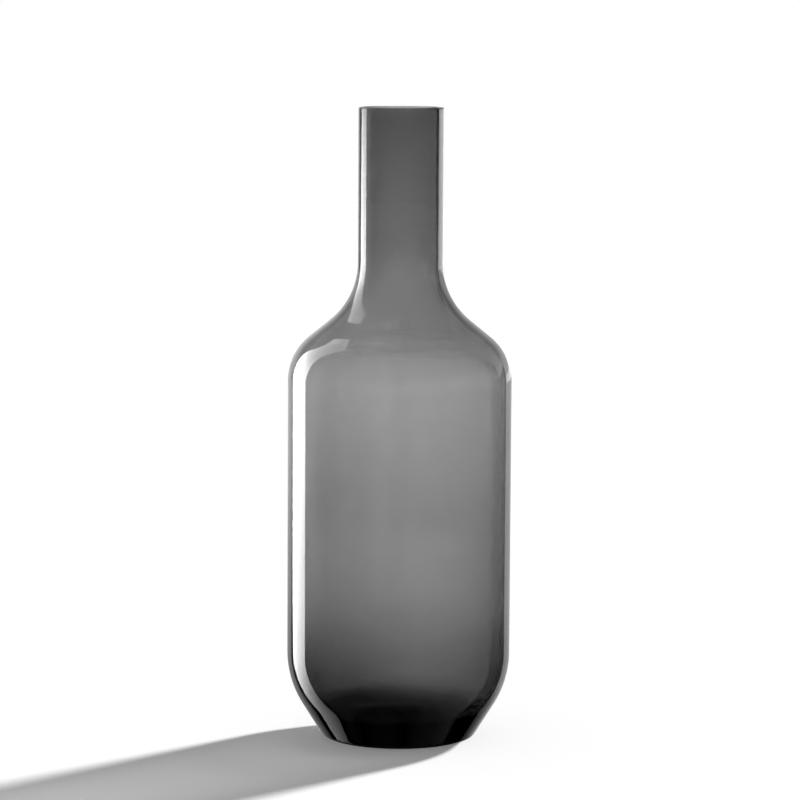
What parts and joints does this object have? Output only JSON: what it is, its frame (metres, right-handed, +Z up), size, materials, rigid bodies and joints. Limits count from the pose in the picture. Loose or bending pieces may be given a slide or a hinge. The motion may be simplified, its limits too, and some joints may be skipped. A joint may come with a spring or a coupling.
{
  "type": "bottle vase",
  "caption": "Tall bottle vase with a straight neck, rounded shoulder and tapered foot, in cased glass: a smoke-grey inner layer under a clear outer layer.",
  "frame": {"origin": "centre of the foot, on the surface that the vase stands on", "axes": "+Z up along the vase's axis, out of the mouth; the form is the same all round, so X and Y are free"},
  "size_m": [0.138, 0.138, 0.39],
  "materials": {
    "clear_glass": "fire-polished, clear",
    "smoke_glass": "fire-polished, transparent smoke grey, nearly black at the floor"
  },
  "bodies": {
    "root": {"clear_casing": "clear_glass", "smoke_lining": "smoke_glass"}
  },
  "joints": []
}
